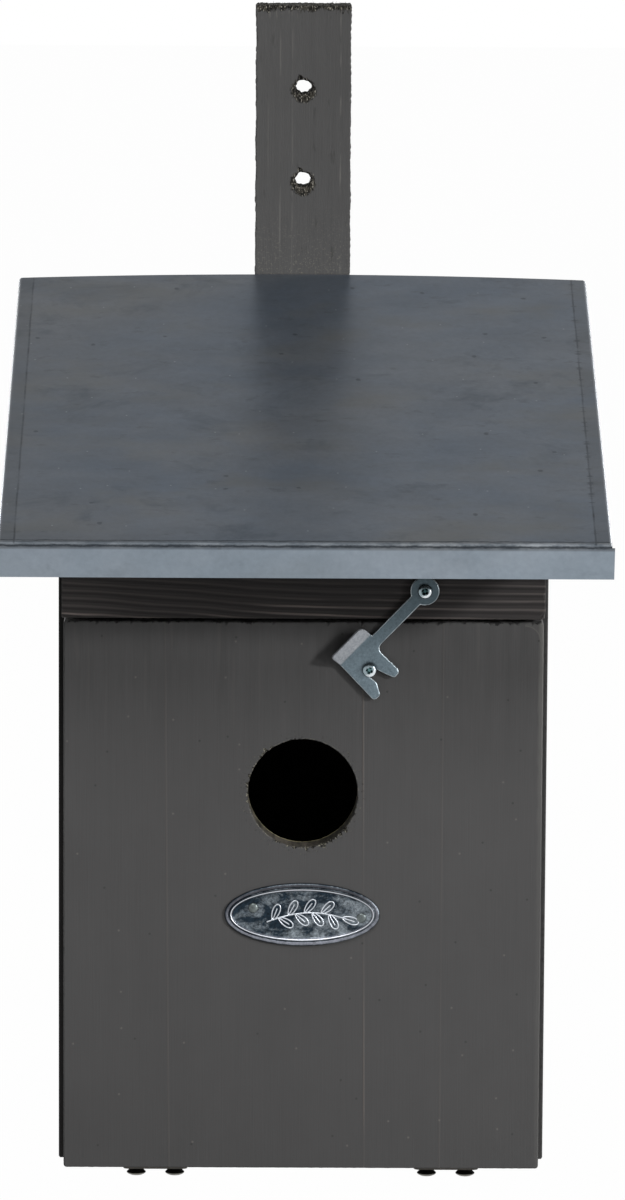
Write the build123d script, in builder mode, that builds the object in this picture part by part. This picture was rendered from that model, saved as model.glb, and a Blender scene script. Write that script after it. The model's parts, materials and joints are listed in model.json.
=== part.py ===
from build123d import *
from math import atan2, cos, degrees, hypot, radians, sin, tan
import os

# Tit nest box: a small wooden box with a bottom-hinged front door, a hook latch,
# a sloping sheet-metal roof and a mounting batten on its back.
# Millimetres. X to the right, Y towards the back, Z up.
# The origin is under the middle of the whole box, at its lowest point.

# Boards and chamber
wall = 12.0
chamber_width = 121.0
chamber_depth = 120.0
edge_break = 0.4
drain_hole_d = 6.0
drain_inset = 18.0

# Door and entrance
door_thickness = 12.0
door_side_inset = 1.75
door_height = 165.0
door_gap = 0.3
entrance_d = 32.0
entrance_from_top = 51.3

# Front rail above the door
rail_side_inset = 1.25
rail_height = 30.0
rail_gap = 0.9

# Mounting batten
batten_width = 30.0
batten_thickness = 12.0
batten_above_roof = 85.9
batten_hole_d = 5.5
batten_hole_from_top = 26.2
batten_hole_pitch = 29.0

# Roof
roof_pitch = 17.05
roof_side_overhang = 16.25
roof_overhang = 38.0
roof_board = 9.0
sheet = 0.6
sheet_bend = 1.2
sheet_lip = 11.0
sheet_fit = 0.3
sheet_board_edge = 0.8
roof_back_gap = 0.3
corner_tab_length = 10.0
corner_tab_taper = 5.0
corner_tab_gap = 0.12
corner_slit = 0.3

# Hinges
hinge_length = 19.1
hinge_from_edge = 27.35
hinge_leaf = 0.8
hinge_leaf_inset = 1.5
hinge_corner = 1.5
hinge_pin_d = 1.4
hinge_pin_fit = 0.05
hinge_knuckle_gap = 0.2
hinge_knuckles = 3
hinge_relief = 0.25
hinge_seam = 0.15
hinge_pin_end = 0.2
hinge_screw_pitch = 11.5

# Latch
latch_pivot_from_end = 35.65
latch_pivot_rise = 8.7
latch_angle = 46.0
latch_plate = 1.0
latch_gap = 0.5
latch_head_gap = 0.3
latch_eye_d = 8.6
latch_arm = 3.75
latch_length = 33.9
latch_width = 12.35
latch_slot_sweep = 20.0
keeper_along = 28.19
keeper_across = 4.71
keeper_slot_fit = 0.15
latch_pivot_fit = 0.08
tab_start = 20.4
tab_end = 33.25
tab_length = 4.65
tab_bend = 36.0
tab_arm_corner = 2.0
tab_end_corner = 1.1
tab_bend_radius = 0.6

# Badge
badge_width = 46.1
badge_height = 19.0
badge_from_entrance = 36.5
badge_plate_t = 0.9
badge_bead_inset = 1.3
badge_bead = 1.0
badge_bead_rise = 0.45
badge_field_drop = 0.3
badge_edge = 0.25
badge_pin_d = 1.2
badge_pin_head_d = 3.0
badge_pin_head = 0.7
badge_pin_length = 8.0
badge_pin_left = -14.5
badge_pin_left_rise = 2.0
badge_pin_right = 17.6
badge_pin_right_rise = -0.9

# Screws
screw_fit = 0.05
pan_d = 2.2
pan_head_d = 4.2
pan_head = 1.5
pan_grip = 9.0
hinge_screw_d = 3.0
hinge_screw_head_d = 5.7
hinge_screw_rim = 0.35
hinge_screw_length = 10.0
carcass_screw_d = 3.0
carcass_screw_head_d = 6.0
carcass_screw_rim = 0.3
carcass_screw_length = 30.0
countersink_angle = 90.0
batten_screw_length = 20.0
tip_length = 2.5
screw_edge_inset = 22.0
roof_screw_inset = 38.0
batten_screw_bottom = 28.0
batten_screw_top = 46.0

# Overrun of the cuts
over = 5.0

# Places worked out from the sizes above
slope = radians(roof_pitch)
knuckle_in = hinge_pin_d / 2 + hinge_pin_fit
knuckle_out = knuckle_in + hinge_leaf
base = 2 * knuckle_out

body_width = chamber_width + 2 * wall
door_width = body_width - 2 * door_side_inset
rail_width = body_width - 2 * rail_side_inset
roof_width = body_width + 2 * roof_side_overhang
total_depth = roof_overhang + door_thickness + door_gap + chamber_depth + wall + batten_thickness
front_y = -total_depth / 2
door_y = front_y + roof_overhang
carcass_y = door_y + door_thickness + door_gap
back_wall_y = carcass_y + chamber_depth
batten_y = back_wall_y + wall
back_y = batten_y + batten_thickness
rail_y = carcass_y - door_thickness

door_top = base + door_height
rail_bottom = door_top + rail_gap
entrance_z = door_top - entrance_from_top

# The roof rests on the rail and is drawn in its own plane: X across, Y up the slope,
# Z square to the sheet. Its front bend is rounded, so the sharp corner that carries the
# plane stands a little ahead of the sheet.
roof_under = sheet + roof_board
corner_y = front_y - sheet_bend * (cos(slope) + sin(slope) - 1)
corner_z = (
    rail_bottom + rail_height + roof_under / cos(slope) - (rail_y - corner_y) * tan(slope)
)
roof_plane = Plane(
    origin=(0, corner_y, corner_z),
    x_dir=(1, 0, 0),
    z_dir=(0, -sin(slope), cos(slope)),
)
roof_length = (batten_y - corner_y) / cos(slope)
roof_normal = Axis((0, 0, 0), roof_plane.z_dir)
roof_uphill = Axis((0, 0, 0), roof_plane.y_dir)
board_width = roof_width - 2 * (sheet + sheet_fit)
lip_width = roof_width + 2 * (corner_tab_gap + sheet)


def roof_z(y, drop):
    """Height of a plane parallel to the roof, measured drop square below its top."""
    return corner_z + (y - corner_y) * tan(slope) - drop / cos(slope)


batten_top = roof_z(batten_y, 0) + batten_above_roof


# Fasteners
def screw_depth(length):
    """Hole depth for a screw, with room at its point."""
    return length + screw_fit


def countersink(screw_planes_used, length):
    """Countersunk holes that take carcass screws flush with the wood."""
    with Locations(*screw_planes_used):
        CounterSinkHole(
            carcass_screw_d / 2 + screw_fit,
            carcass_screw_head_d / 2 + carcass_screw_rim + screw_fit,
            screw_depth(length),
            countersink_angle,
        )


def screw_planes(points, outward, across):
    """One plane at each screw head, looking outward."""
    return [Plane(origin=point, x_dir=across, z_dir=outward) for point in points]


def countersunk_screw(shank_d, head_d, rim, length):
    """A countersunk screw along -Z, with the top of its head at the origin."""
    with BuildPart() as screw:
        with BuildSketch(Plane.XZ):
            with BuildLine():
                cone = (head_d - shank_d) / 2
                Polyline(
                    (0, 0),
                    (head_d / 2, 0),
                    (head_d / 2, -rim),
                    (shank_d / 2, -rim - cone),
                    (shank_d / 2, -length + tip_length),
                    (0, -length),
                    close=True,
                )
            make_face()
        revolve(axis=Axis.Z)
    return screw.part


def domed_fastener(shank_d, head_d, head, length, tip):
    """A round-headed pin or screw along -Z, with the underside of its head at the origin."""
    with BuildPart() as fastener:
        with BuildSketch(Plane.XZ):
            with BuildLine():
                Polyline(
                    (0, head),
                    (head_d / 4, head),
                    (head_d * 0.4, head * 0.8),
                    (head_d / 2, head * 0.4),
                    (head_d / 2, 0),
                    (shank_d / 2, 0),
                    (shank_d / 2, -length + tip),
                    (0, -length),
                    close=True,
                )
            make_face()
        revolve(axis=Axis.Z)
    return fastener.part


hinge_screw = countersunk_screw(
    hinge_screw_d, hinge_screw_head_d, hinge_screw_rim, hinge_screw_length
)
carcass_screw = countersunk_screw(
    carcass_screw_d, carcass_screw_head_d, carcass_screw_rim, carcass_screw_length
)
batten_screw = countersunk_screw(
    carcass_screw_d, carcass_screw_head_d, carcass_screw_rim, batten_screw_length
)

side_mid_x = chamber_width / 2 + wall / 2
side_back_top = roof_z(back_wall_y, roof_under)
back_screw_heights = [
    base + screw_edge_inset,
    (base + side_back_top) / 2,
    side_back_top - screw_edge_inset,
]
back_screw_planes = screw_planes(
    [(x, batten_y, z) for x in (-side_mid_x, side_mid_x) for z in back_screw_heights],
    (0, 1, 0),
    (1, 0, 0),
)
floor_mid_z = base + wall / 2
floor_screw_ys = (carcass_y + screw_edge_inset, back_wall_y - screw_edge_inset)
floor_screw_planes = [
    Plane(origin=(side * body_width / 2, y, floor_mid_z), x_dir=(0, 1, 0), z_dir=(side, 0, 0))
    for side in (-1, 1)
    for y in floor_screw_ys
]
batten_screw_heights = (
    base + batten_screw_bottom,
    (base + side_back_top) / 2,
    side_back_top - batten_screw_top,
)
batten_screw_planes = screw_planes(
    [(0, back_y, z) for z in batten_screw_heights], (0, 1, 0), (1, 0, 0)
)


def roof_screw_plane(x, y):
    """A screw head on the roof board's upper face, over the point x, y of the walls."""
    along = (y - corner_y) / cos(slope)
    place = roof_plane.from_local_coords(Vector(x, along, -sheet))
    return Plane(origin=place, x_dir=(1, 0, 0), z_dir=roof_plane.z_dir)


roof_screw_planes = [
    roof_screw_plane(side * side_mid_x, y)
    for side in (-1, 1)
    for y in (carcass_y + roof_screw_inset, back_wall_y - roof_screw_inset)
]
rail_screw_x = rail_width / 2 - screw_edge_inset
rail_screw_y = (rail_y + carcass_y) / 2 - carcass_screw_length / 2 * sin(slope)
roof_screw_planes += [roof_screw_plane(side * rail_screw_x, rail_screw_y) for side in (-1, 1)]

hinge_y = carcass_y - door_gap / 2
hinge_z = base - knuckle_out
leaf_reach = hinge_y - door_y - hinge_leaf_inset
leaf_screw_y = (leaf_reach + knuckle_out) / 2
leaf_under = base - hinge_leaf
hinge_head = hinge_screw_rim + (hinge_screw_head_d - hinge_screw_d) / 2
hinge_spread = door_width / 2 - hinge_from_edge
hinge_centres = (-hinge_spread, hinge_spread)
hinge_screw_xs = [
    centre + half * hinge_screw_pitch / 2 for centre in hinge_centres for half in (-1, 1)
]
door_hinge_planes = screw_planes(
    [(x, hinge_y - leaf_screw_y, leaf_under - hinge_head) for x in hinge_screw_xs],
    (0, 0, -1),
    (1, 0, 0),
)
floor_hinge_planes = screw_planes(
    [(x, hinge_y + leaf_screw_y, leaf_under - hinge_head) for x in hinge_screw_xs],
    (0, 0, -1),
    (1, 0, 0),
)

# The latch lies in a plane in front of the door: X along its arm, Y towards its prongs,
# Z out of the door.
latch_pivot_x = rail_width / 2 - latch_pivot_from_end
pivot_z = rail_bottom + latch_pivot_rise
latch_back_y = door_y - latch_gap
arm_dir = (-cos(radians(latch_angle)), 0, -sin(radians(latch_angle)))
latch_plane = Plane(
    origin=(latch_pivot_x, latch_back_y, pivot_z), x_dir=arm_dir, z_dir=(0, -1, 0)
)
latch_stack = latch_plate + latch_head_gap
keeper_place = latch_plane.from_local_coords(Vector(keeper_along, keeper_across, latch_stack))
keeper_plane = Plane(origin=keeper_place, x_dir=(1, 0, 0), z_dir=(0, -1, 0))
pivot_plane = Plane(
    origin=latch_plane.from_local_coords(Vector(0, 0, latch_stack)),
    x_dir=(1, 0, 0),
    z_dir=(0, -1, 0),
)
latch_screw = domed_fastener(pan_d, pan_head_d, pan_head, pan_grip, tip_length)

badge_z = entrance_z - badge_from_entrance
badge_plane = Plane(origin=(0, door_y, badge_z), x_dir=(1, 0, 0), z_dir=(0, -1, 0))
badge_pin_places = [
    (badge_pin_left, badge_pin_left_rise),
    (badge_pin_right, badge_pin_right_rise),
]

# Carcass boards
side_profile = [
    (carcass_y, base),
    (back_wall_y, base),
    (back_wall_y, side_back_top),
    (carcass_y, roof_z(carcass_y, roof_under)),
]


def side_wall(side):
    """A side board with its top cut to the roof's slope."""
    with BuildPart() as board:
        with BuildSketch(Plane.YZ.offset(side * side_mid_x)):
            with BuildLine():
                Polyline(*side_profile, close=True)
            make_face()
        extrude(amount=wall / 2, both=True)
        outer = board.faces().sort_by(Axis.X)[-1 if side > 0 else 0]
        chamfer(outer.edges(), edge_break)
        countersink(floor_screw_planes, carcass_screw_length)
        with Locations(*back_screw_planes, *roof_screw_planes):
            Hole(carcass_screw_d / 2 + screw_fit, screw_depth(carcass_screw_length))
    return board.part


side_wall_left = side_wall(-1)
side_wall_left.label = "side_wall_left"
side_wall_right = side_wall(1)
side_wall_right.label = "side_wall_right"

with BuildPart() as back_wall:
    with BuildSketch(Plane.YZ):
        with BuildLine():
            Polyline(
                (back_wall_y, base),
                (batten_y, base),
                (batten_y, roof_z(batten_y, roof_under)),
                (back_wall_y, side_back_top),
                close=True,
            )
        make_face()
    extrude(amount=body_width / 2, both=True)
    rear = back_wall.faces().filter_by(Axis.Y).sort_by(Axis.Y)[-1]
    chamfer(rear.edges(), edge_break)
    countersink(back_screw_planes, carcass_screw_length)
    with Locations(*batten_screw_planes):
        Hole(carcass_screw_d / 2 + screw_fit, screw_depth(batten_screw_length))

with BuildPart() as floor_board:
    with BuildSketch(Plane.XY.offset(base)):
        with Locations((0, carcass_y)):
            Rectangle(chamber_width, chamber_depth, align=(Align.CENTER, Align.MIN))
    extrude(amount=wall)
    front_edges = floor_board.edges().filter_by(Axis.X).group_by(Axis.Y)[0]
    chamfer(front_edges, edge_break)
    drains = GridLocations(
        chamber_width - 2 * drain_inset, chamber_depth - 2 * drain_inset, 2, 2
    )
    with Locations((0, carcass_y + chamber_depth / 2, base + wall)):
        with drains:
            Hole(drain_hole_d / 2, wall)
    with Locations(*floor_screw_planes):
        Hole(carcass_screw_d / 2 + screw_fit, screw_depth(carcass_screw_length))
    with Locations(*floor_hinge_planes):
        Hole(hinge_screw_d / 2 + screw_fit, screw_depth(hinge_screw_length))

with BuildPart() as front_rail:
    with BuildSketch(Plane.YZ):
        with BuildLine():
            Polyline(
                (rail_y, rail_bottom),
                (carcass_y, rail_bottom),
                (carcass_y, roof_z(carcass_y, roof_under)),
                (rail_y, roof_z(rail_y, roof_under)),
                close=True,
            )
        make_face()
    extrude(amount=rail_width / 2, both=True)
    face_edges = front_rail.faces().filter_by(Axis.Y).sort_by(Axis.Y)[0].edges()
    chamfer(face_edges, edge_break)
    with Locations(*roof_screw_planes):
        Hole(carcass_screw_d / 2 + screw_fit, screw_depth(carcass_screw_length))
    with Locations(pivot_plane):
        Hole(pan_d / 2 + screw_fit, screw_depth(pan_grip))

# Roof: a board under a folded sheet
with BuildPart() as roof_board_part:
    with BuildSketch(Plane.YZ):
        with BuildLine():
            front_top = roof_plane.from_local_coords(Vector(0, sheet + sheet_fit, -sheet))
            front_low = roof_plane.from_local_coords(Vector(0, sheet + sheet_fit, -roof_under))
            board_back = batten_y - roof_back_gap
            Polyline(
                (front_top.Y, front_top.Z),
                (front_low.Y, front_low.Z),
                (board_back, roof_z(board_back, roof_under)),
                (board_back, roof_z(board_back, sheet)),
                close=True,
            )
        make_face()
    extrude(amount=board_width / 2, both=True)
    chamfer(
        roof_board_part.faces().sort_by(roof_normal)[-1].edges(), sheet_board_edge
    )
    countersink(roof_screw_planes, carcass_screw_length)

# The sheet is folded from one blank: a front lip, two side flanges, and at each
# front corner a tapered tab of the lip that wraps round the outside of the side flange.
with BuildPart() as roof_sheet:
    with BuildSketch(roof_plane):
        Rectangle(roof_width, roof_length + over, align=(Align.CENTER, Align.MIN))
    extrude(amount=-sheet_lip)
    top = roof_sheet.faces().sort_by(roof_normal)[-1]
    bends = top.edges().sort_by(roof_uphill)[:-1]
    fillet(bends, sheet_bend)
    under = roof_sheet.faces().sort_by(roof_normal)[0]
    rear = roof_sheet.faces().sort_by(roof_uphill)[-1]
    offset(amount=-sheet, openings=[under, rear])
    split(
        bisect_by=Plane(origin=(0, batten_y - roof_back_gap, 0), z_dir=(0, 1, 0)),
        keep=Keep.BOTTOM,
    )
    with BuildSketch(roof_plane.offset(-sheet_bend)):
        with Locations((0, sheet)):
            Rectangle(
                roof_width + over, corner_slit, align=(Align.CENTER, Align.MIN)
            )
        with Locations((0, sheet)):
            Rectangle(
                roof_width - 2 * sheet,
                corner_slit,
                align=(Align.CENTER, Align.MIN),
                mode=Mode.SUBTRACT,
            )
    extrude(amount=-sheet_lip, mode=Mode.SUBTRACT)
    with BuildSketch(roof_plane.offset(-sheet_bend)):
        Rectangle(lip_width, sheet, align=(Align.CENTER, Align.MIN))
    extrude(amount=-(sheet_lip - sheet_bend))
    for side in (-1, 1):
        lip_end = roof_plane.from_local_coords(Vector(side * lip_width / 2, 0, 0))
        with BuildSketch(Plane(origin=lip_end, x_dir=roof_plane.y_dir, z_dir=(1, 0, 0))):
            with BuildLine():
                Polyline(
                    (0, -sheet_bend),
                    (sheet, -sheet_bend),
                    (corner_tab_length, -sheet_bend - corner_tab_taper),
                    (corner_tab_length, -sheet_lip),
                    (0, -sheet_lip),
                    close=True,
                )
            make_face()
        extrude(amount=-side * sheet)

# Mounting batten, with two holes for nails or screws above the roof
with BuildPart() as mounting_batten:
    with BuildSketch(Plane.XY.offset(base)):
        with Locations((0, batten_y)):
            Rectangle(batten_width, batten_thickness, align=(Align.CENTER, Align.MIN))
    extrude(amount=batten_top - base)
    chamfer(mounting_batten.edges().filter_by(Axis.Z), edge_break)
    hole_mid = batten_top - batten_hole_from_top - batten_hole_pitch / 2
    with Locations(Plane(origin=(0, back_y, hole_mid), x_dir=(1, 0, 0), z_dir=(0, 1, 0))):
        with GridLocations(batten_width, batten_hole_pitch, 1, 2):
            Hole(batten_hole_d / 2, batten_thickness)
    countersink(batten_screw_planes, batten_screw_length)

# Door
with BuildPart() as door_panel:
    with BuildSketch(Plane.XY.offset(base)):
        with Locations((0, door_y)):
            Rectangle(door_width, door_thickness, align=(Align.CENTER, Align.MIN))
    extrude(amount=door_height)
    chamfer(door_panel.edges(), edge_break)
    door_front = Plane(
        origin=(0, door_y, entrance_z), x_dir=(1, 0, 0), z_dir=(0, -1, 0)
    )
    with Locations(door_front):
        Hole(entrance_d / 2, door_thickness)
    with Locations(*door_hinge_planes):
        Hole(hinge_screw_d / 2 + screw_fit, screw_depth(hinge_screw_length))
    with Locations(keeper_plane):
        Hole(pan_d / 2 + screw_fit, screw_depth(pan_grip))
    with Locations(badge_plane):
        with Locations(*badge_pin_places):
            Hole(badge_pin_d / 2 + screw_fit, screw_depth(badge_pin_length))

# Hinges: each leaf is one strip rolled round the pin. The floor leaf runs back from the
# barrel and the door leaf runs forward.
knuckle_length = hinge_length / hinge_knuckles
knuckle_width = knuckle_length - hinge_knuckle_gap


def hinge_leaf_part(centre, way, knuckle_numbers):
    """A rolled leaf: way is 1 for the floor leaf and -1 for the door leaf."""
    with BuildPart() as leaf:
        with BuildSketch(Plane.XY.offset(leaf_under)):
            mid = hinge_y + way * (knuckle_out + hinge_relief + leaf_reach) / 2
            flat = leaf_reach - knuckle_out - hinge_relief
            with Locations((centre, mid)):
                Rectangle(hinge_length, flat)
        extrude(amount=hinge_leaf)
        far = leaf.edges().filter_by(Axis.Z).group_by(Axis.Y)[-1 if way > 0 else 0]
        fillet(far, hinge_corner)
        for number in knuckle_numbers:
            start = centre - hinge_length / 2 + number * knuckle_length + hinge_knuckle_gap / 2
            barrel = Plane(
                origin=(start, hinge_y, hinge_z), x_dir=(0, way, 0), z_dir=(way, 0, 0)
            )
            side = barrel if way > 0 else barrel.offset(-knuckle_width)
            with BuildSketch(side):
                Circle(knuckle_out)
                with Locations((0, knuckle_out)):
                    Rectangle(
                        knuckle_out + 2 * hinge_relief,
                        hinge_leaf,
                        align=(Align.MIN, Align.MAX),
                    )
                Circle(knuckle_in, mode=Mode.SUBTRACT)
                with Locations((knuckle_in, knuckle_in - hinge_seam)):
                    Rectangle(
                        knuckle_out,
                        hinge_seam,
                        align=(Align.CENTER, Align.MIN),
                        mode=Mode.SUBTRACT,
                    )
            extrude(amount=knuckle_width)
        planes = floor_hinge_planes if way > 0 else door_hinge_planes
        with Locations(*planes):
            Hole(hinge_screw_d / 2 + screw_fit, screw_depth(hinge_screw_length))
    return leaf.part


hinge_pieces = {}
for name, centre in zip(("left", "right"), hinge_centres):
    hinge_pieces["hinge_floor_leaf_" + name] = hinge_leaf_part(centre, 1, (0, 2))
    hinge_pieces["hinge_door_leaf_" + name] = hinge_leaf_part(centre, -1, (1,))
    with BuildPart() as hinge_pin:
        length = hinge_length - hinge_knuckle_gap + 2 * hinge_pin_end
        axis_plane = Plane(origin=(centre, hinge_y, hinge_z), x_dir=(0, 1, 0), z_dir=(1, 0, 0))
        with BuildSketch(axis_plane):
            Circle(hinge_pin_d / 2)
        extrude(amount=length / 2, both=True)
    hinge_pieces["hinge_pin_" + name] = hinge_pin.part
for name, piece in hinge_pieces.items():
    piece.label = name

# Latch: the hook is stamped from flat strip, as an eye, a straight arm and a plate with
# two prongs. The slot between the prongs follows an arc about the eye.
keeper_radius = hypot(keeper_along, keeper_across)
keeper_bearing = degrees(atan2(keeper_across, keeper_along))
slot_width = pan_d + 2 * keeper_slot_fit

# Corners of the plate past the arm, as shares of the latch's length and width, each
# with its rounding as a share of the width. They run round from the tab's end.
hook_shares = [
    (1.0, 1.0, 0.1),
    (0.925, 1.0, 0.07),
    (0.866, 0.72, 0.2),
    (0.876, 0.478, 0.02),
    (0.795, 0.478, 0.02),
    (0.7935, 0.672, 0.19),
    (0.736, 0.95, 0.105),
    (0.652, 0.94, 0.113),
]
slot_path = CenterArc((0, 0), keeper_radius, keeper_bearing, latch_slot_sweep)
hook_corners = [(tab_end, -latch_arm / 2)]
hook_corners += [(along * latch_length, across * latch_width) for along, across, _ in hook_shares]
hook_corners += [(hook_corners[-1][0], latch_arm / 2), (0, latch_arm / 2), (0, -latch_arm / 2)]
hook_radii = [edge_break]
hook_radii += [radius * latch_width for _, _, radius in hook_shares]
hook_radii += [latch_arm / 2, edge_break, edge_break]

tab_section = Plane(
    origin=latch_plane.from_local_coords(Vector(tab_start, 0, latch_plate / 2)),
    x_dir=latch_plane.y_dir,
    z_dir=latch_plane.x_dir,
)
tab_middle_radius = tab_bend_radius + latch_plate / 2

with BuildPart() as latch_hook:
    with BuildSketch(latch_plane):
        with BuildLine():
            FilletPolyline(*hook_corners, radius=hook_radii, close=True)
        make_face()
        Circle(latch_eye_d / 2)
        SlotArc(slot_path, slot_width, mode=Mode.SUBTRACT)
        Circle(pan_d / 2 + latch_pivot_fit, mode=Mode.SUBTRACT)
    extrude(amount=latch_plate)
    with BuildSketch(tab_section):
        with BuildLine():
            flat = Line((0, 0), (-latch_arm / 2, 0))
            bend = JernArc(flat @ 1, flat % 1, tab_middle_radius, -tab_bend)
            Line(bend @ 1, (bend @ 1) + (bend % 1) * tab_length)
        trace(line_width=latch_plate)
    extrude(amount=tab_end - tab_start)
    tab_face = latch_hook.faces().sort_by(Axis((0, 0, 0), latch_plane.y_dir))[0]
    along_arm = Axis((0, 0, 0), latch_plane.x_dir)
    fillet(tab_face.edges().sort_by(along_arm)[0], tab_arm_corner)
    tab_face = latch_hook.faces().sort_by(Axis((0, 0, 0), latch_plane.y_dir))[0]
    fillet(tab_face.edges().sort_by(along_arm)[-1], tab_end_corner)

with BuildPart() as latch_pivot_screw:
    with Locations(pivot_plane):
        add(latch_screw)

with BuildPart() as latch_keeper_screw:
    with Locations(keeper_plane):
        add(latch_screw)

# Badge
badge_bead_w = badge_width - 2 * badge_bead_inset
badge_bead_h = badge_height - 2 * badge_bead_inset
badge_field = badge_plane.offset(badge_plate_t - badge_field_drop)

with BuildPart() as badge_plate:
    with BuildSketch(badge_plane):
        Ellipse(badge_width / 2, badge_height / 2)
    extrude(amount=badge_plate_t)
    chamfer(badge_plate.faces().sort_by(Axis.Y)[0].edges(), badge_edge)
    with BuildSketch(badge_plane.offset(badge_plate_t - badge_edge)):
        Ellipse(badge_bead_w / 2, badge_bead_h / 2)
    extrude(amount=badge_bead_rise + badge_edge)
    with BuildSketch(badge_field):
        Ellipse(badge_bead_w / 2 - badge_bead, badge_bead_h / 2 - badge_bead)
    extrude(amount=badge_bead_rise + badge_field_drop, mode=Mode.SUBTRACT)
    bead_edges = badge_plate.faces().sort_by(Axis.Y)[0].edges()
    chamfer(bead_edges, badge_edge)
    with Locations(badge_plane.offset(badge_plate_t)):
        with Locations(*badge_pin_places):
            Hole(badge_pin_d / 2 + screw_fit, badge_plate_t)

badge_pin = domed_fastener(
    badge_pin_d, badge_pin_head_d, badge_pin_head, badge_pin_length, badge_pin_d
)

with BuildPart() as badge_pins:
    with Locations(badge_field):
        with Locations(*badge_pin_places):
            add(badge_pin)

# Groups of like screws
screw_groups = {
    "back_wall_screws": (carcass_screw, back_screw_planes),
    "floor_screws": (carcass_screw, floor_screw_planes),
    "roof_board_screws": (carcass_screw, roof_screw_planes),
    "batten_screws": (batten_screw, batten_screw_planes),
    "hinge_door_screws": (hinge_screw, door_hinge_planes),
    "hinge_floor_screws": (hinge_screw, floor_hinge_planes),
}
screw_nodes = {}
for name, (screw, planes) in screw_groups.items():
    with BuildPart() as group:
        with Locations(*planes):
            add(screw)
    screw_nodes[name] = group.part

pieces = {
    "side_wall_left": side_wall_left,
    "side_wall_right": side_wall_right,
    "back_wall": back_wall.part,
    "floor_board": floor_board.part,
    "front_rail": front_rail.part,
    "roof_board": roof_board_part.part,
    "roof_sheet": roof_sheet.part,
    "mounting_batten": mounting_batten.part,
    "door_panel": door_panel.part,
    "badge_plate": badge_plate.part,
    "badge_pins": badge_pins.part,
    "latch_keeper_screw": latch_keeper_screw.part,
    "latch_pivot_screw": latch_pivot_screw.part,
    "latch_hook": latch_hook.part,
}
pieces.update(hinge_pieces)
pieces.update(screw_nodes)

os.makedirs("parts", exist_ok=True)
for name, piece in pieces.items():
    piece.label = name
    export_step(piece, "parts/" + name + ".step")
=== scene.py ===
import json
import random
from math import atan2, copysign, cos, degrees, exp, pi, radians, sin, tan

import bmesh
import bpy
from mathutils import Matrix, Vector, geometry, noise


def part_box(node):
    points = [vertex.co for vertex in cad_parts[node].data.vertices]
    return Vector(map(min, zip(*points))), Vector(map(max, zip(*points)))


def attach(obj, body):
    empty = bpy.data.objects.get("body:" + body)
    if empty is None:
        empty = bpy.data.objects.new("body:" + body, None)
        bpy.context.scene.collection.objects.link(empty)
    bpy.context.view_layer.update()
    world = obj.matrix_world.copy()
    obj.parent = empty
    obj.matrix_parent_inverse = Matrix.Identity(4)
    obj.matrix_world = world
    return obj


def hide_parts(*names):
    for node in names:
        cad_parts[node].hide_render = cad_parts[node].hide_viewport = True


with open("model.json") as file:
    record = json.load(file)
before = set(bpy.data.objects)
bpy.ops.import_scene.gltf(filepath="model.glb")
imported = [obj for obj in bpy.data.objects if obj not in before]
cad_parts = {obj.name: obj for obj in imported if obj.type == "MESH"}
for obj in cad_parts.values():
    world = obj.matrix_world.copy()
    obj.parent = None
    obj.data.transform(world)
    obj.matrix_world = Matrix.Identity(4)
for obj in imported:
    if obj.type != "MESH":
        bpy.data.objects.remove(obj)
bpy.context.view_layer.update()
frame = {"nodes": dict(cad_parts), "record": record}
nodes = frame["nodes"]
mounts = {mount["name"]: mount for mount in frame["record"]["mounts"]}

MM = 0.001
WELD = 1e-6
WHITE = (255, 255, 255)
SQUARE = ((-1, -1), (1, -1), (1, 1), (-1, 1))
BACK, FRONT, DOWN = Vector((0, 1, 0)), Vector((0, -1, 0)), Vector((0, 0, -1))
LEFT, RIGHT = Vector((-1, 0, 0)), Vector((1, 0, 0))

# Camera: found from landmarks of the photograph, in the part's frame
CAMERA_TARGET = Vector((2.548, -59.15, 174.678)) * MM
CAMERA_DISTANCE = 2038.0 * MM
CAMERA_PITCH = radians(9.172)
CAMERA_YAW = radians(0.456)
CAMERA_ROLL = radians(0.323)
FOCAL_PIXELS = 6926.06
PHOTO_HEIGHT = 1200
SENSOR = 36.0

# Studio
AMBIENT = 0.04
CEILING = 0.35
FLOOR_SIZE = 12.0
FLOOR_LEVEL = -0.15
FLOOR_GLOW = 0.985
FLOOR_TONE = 187.51603
LIGHTS_AIM = Vector((0, -0.05, 0.12))

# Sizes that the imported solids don't state
ROOF_PITCH = radians(17.05)
SHEET_BEND = 1.2 * MM
SHEET_CROWN = 1.5 * MM
BOARD = 12.0 * MM
LATCH_PLATE = 1.0 * MM
LATCH_ROUNDING = 0.4 * MM
SCREW_RIM = 0.3 * MM
SCREW_SHANK_R = 1.5 * MM
RECESS_WIDTH = 0.8 * MM
OFF_SEAM = 0.003
PAN_HEIGHT = 1.5 * MM
HINGE_PROUD = 0.45 * MM
PIN_R = 1.5 * MM
PIN_HEIGHT = 0.7 * MM
LEAF_LONG = 4.9
LEAF_WIDE = 1.05

# The worn boards: their outlines' step, their back edge, and what counts as their end
EDGE_STEP = 0.5 * MM
REAR_ARRIS = 0.4 * MM
END_BAND = 1 * MM

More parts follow.
